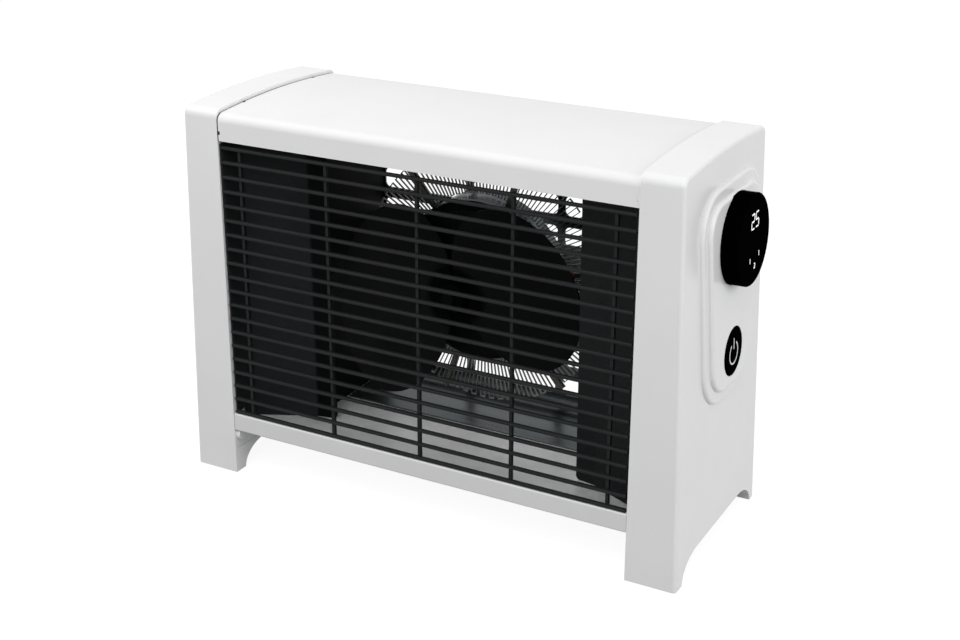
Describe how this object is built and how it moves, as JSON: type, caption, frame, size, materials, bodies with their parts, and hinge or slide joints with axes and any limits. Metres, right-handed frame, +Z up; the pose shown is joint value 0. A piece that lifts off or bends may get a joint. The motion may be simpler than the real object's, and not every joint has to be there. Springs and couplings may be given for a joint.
{
  "type": "portable fan heater",
  "caption": "Low portable electric fan heater with white end panels on arched feet, a black barred front, a two-winged fan before a zig-zag element, and a side dial and power button.",
  "frame": {"origin": "on the floor, under the middle of the heater's envelope", "axes": "+X to the right seen from the front, towards the controls; +Y from the front grille to the back; +Z up"},
  "size_m": [0.3816, 0.1442, 0.269],
  "materials": {
    "white_plastic": "satin moulded plastic",
    "white_paint": "smooth white powder coat",
    "galvanised": "bright galvanised sheet",
    "black_paint": "satin black powder coat",
    "fan_black": "smooth dark plastic",
    "bare_steel": "bright rolled sheet",
    "steel": "turned steel",
    "laminations": "stacked electrical steel",
    "copper_wire": "enamelled winding wire",
    "die_cast": "die-cast",
    "bronze": "sintered bronze",
    "mica": "pressed mica sheet",
    "resistance_alloy": "oxidised resistance strip",
    "brown_plastic": "phenolic",
    "gloss_black": "piano black",
    "lens_black": "smoked display window",
    "black_plastic": "fine satin",
    "circuit_board": "solder mask",
    "rubber": "matte"
  },
  "bodies": {
    "casing": {"left_end_panel": "white_plastic", "right_end_panel": "white_plastic", "left_cheek": "white_plastic", "right_cheek": "white_plastic", "left_foot_pads": "rubber", "right_foot_pads": "rubber", "top_cover": "white_paint", "front_sill": "white_paint", "base_pan": "galvanised", "rear_panel": "bare_steel", "rear_screws": "steel", "front_grille": "black_paint", "left_baffle": "black_paint", "right_baffle": "black_paint", "left_chamber_wall": "black_paint", "right_chamber_wall": "black_paint", "motor_stator": "laminations", "motor_windings": "copper_wire", "motor_front_cap": "die_cast", "motor_rear_cap": "die_cast", "front_bush": "bronze", "rear_bush": "bronze", "motor_strap": "galvanised", "strap_screws": "steel", "motor_shield": "black_paint", "element_band": "bare_steel", "front_mica": "mica", "rear_mica": "mica", "heating_ribbon": "resistance_alloy", "element_posts": "steel", "thermal_cutout": "brown_plastic", "control_boss": "white_plastic", "display_pod": "black_plastic", "display_board": "circuit_board", "display_lens": "lens_black", "display_nut": "black_plastic", "power_switch": "black_plastic", "control_board": "circuit_board", "board_relays": "black_plastic", "cord_gland": "black_plastic", "gland_nut": "black_plastic", "terminal_block": "brown_plastic", "tip_switch": "black_plastic"},
    "fan_rotor": {"fan": "fan_black", "fan_clip": "black_plastic", "motor_shaft": "steel", "motor_rotor": "laminations"},
    "dial": {"dial_ring": "gloss_black"},
    "button": {"power_button": "gloss_black"}
  },
  "joints": [
    {"name": "fan_spin", "type": "hinge", "parent": "casing", "child": "fan_rotor", "pos_m": [-0.0053, 0, 0.147], "axis": [0, 1, 0], "continuous": true},
    {"name": "dial_turn", "type": "hinge", "parent": "casing", "child": "dial", "pos_m": [0.17452, 0.00665, 0.20972], "axis": [0.9996, 0, 0.027], "continuous": true},
    {"name": "button_press", "type": "slide", "parent": "casing", "child": "button", "axis": [-0.9996, 0, -0.027], "range_m": [0, 0.0015], "stiffness_N_per_m": 400, "springref_m": -0.002}
  ]
}
